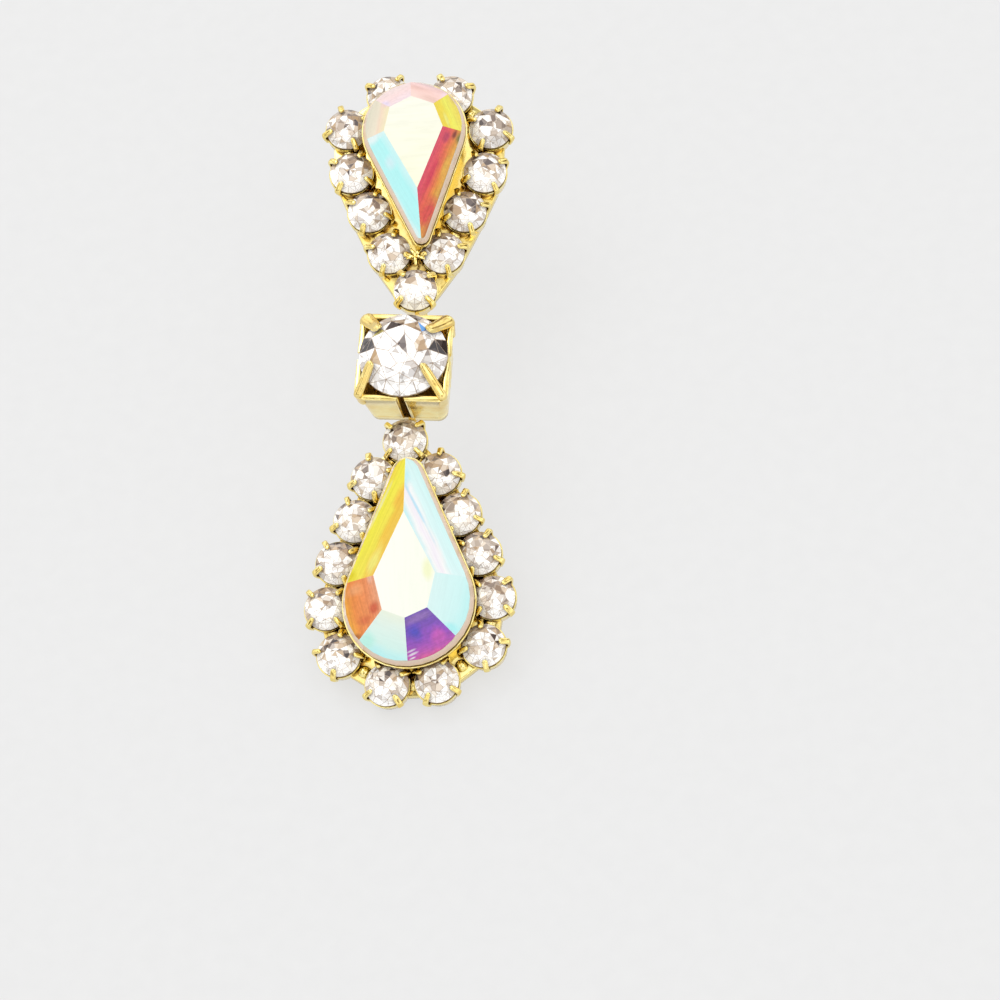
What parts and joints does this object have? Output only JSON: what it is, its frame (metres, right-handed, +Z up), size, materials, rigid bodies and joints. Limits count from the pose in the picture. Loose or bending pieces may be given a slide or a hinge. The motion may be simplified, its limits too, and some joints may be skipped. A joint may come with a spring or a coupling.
{
  "type": "teardrop earring",
  "caption": "Gold-plated drop earring: two pear stones in rings of small round stones, joined by a round stone in a square claw box, with an ear post.",
  "frame": {"origin": "on the surface that the earring lies on, under the middle of its outline", "axes": "+Z up, +Y towards the end that is worn highest, +X to the right seen from above"},
  "size_m": [0.0144, 0.0402, 0.0146],
  "materials": {
    "gold_plate": "polished gold plating",
    "clear_stone": "clear faceted glass with a foiled back",
    "rainbow_stone": "clear faceted stone with a rainbow coating"
  },
  "bodies": {
    "root": {"drop_setting": "gold_plate", "drop_pear_stone": "rainbow_stone", "drop_halo_stone_01": "clear_stone", "drop_halo_stone_02": "clear_stone", "drop_halo_stone_03": "clear_stone", "drop_halo_stone_04": "clear_stone", "drop_halo_stone_05": "clear_stone", "drop_halo_stone_06": "clear_stone", "drop_halo_stone_07": "clear_stone", "drop_halo_stone_08": "clear_stone", "drop_halo_stone_09": "clear_stone", "drop_halo_stone_10": "clear_stone", "drop_halo_stone_11": "clear_stone", "drop_halo_stone_12": "clear_stone", "drop_halo_stone_13": "clear_stone", "square_setting": "gold_plate", "square_stone": "clear_stone", "upper_setting": "gold_plate", "upper_pear_stone": "rainbow_stone", "upper_halo_stone_01": "clear_stone", "upper_halo_stone_02": "clear_stone", "upper_halo_stone_03": "clear_stone", "upper_halo_stone_04": "clear_stone", "upper_halo_stone_05": "clear_stone", "upper_halo_stone_06": "clear_stone", "upper_halo_stone_07": "clear_stone", "upper_halo_stone_08": "clear_stone", "upper_halo_stone_09": "clear_stone", "upper_halo_stone_10": "clear_stone", "upper_halo_stone_11": "clear_stone", "ear_post": "gold_plate", "lower_link": "gold_plate", "upper_link": "gold_plate"}
  },
  "joints": []
}
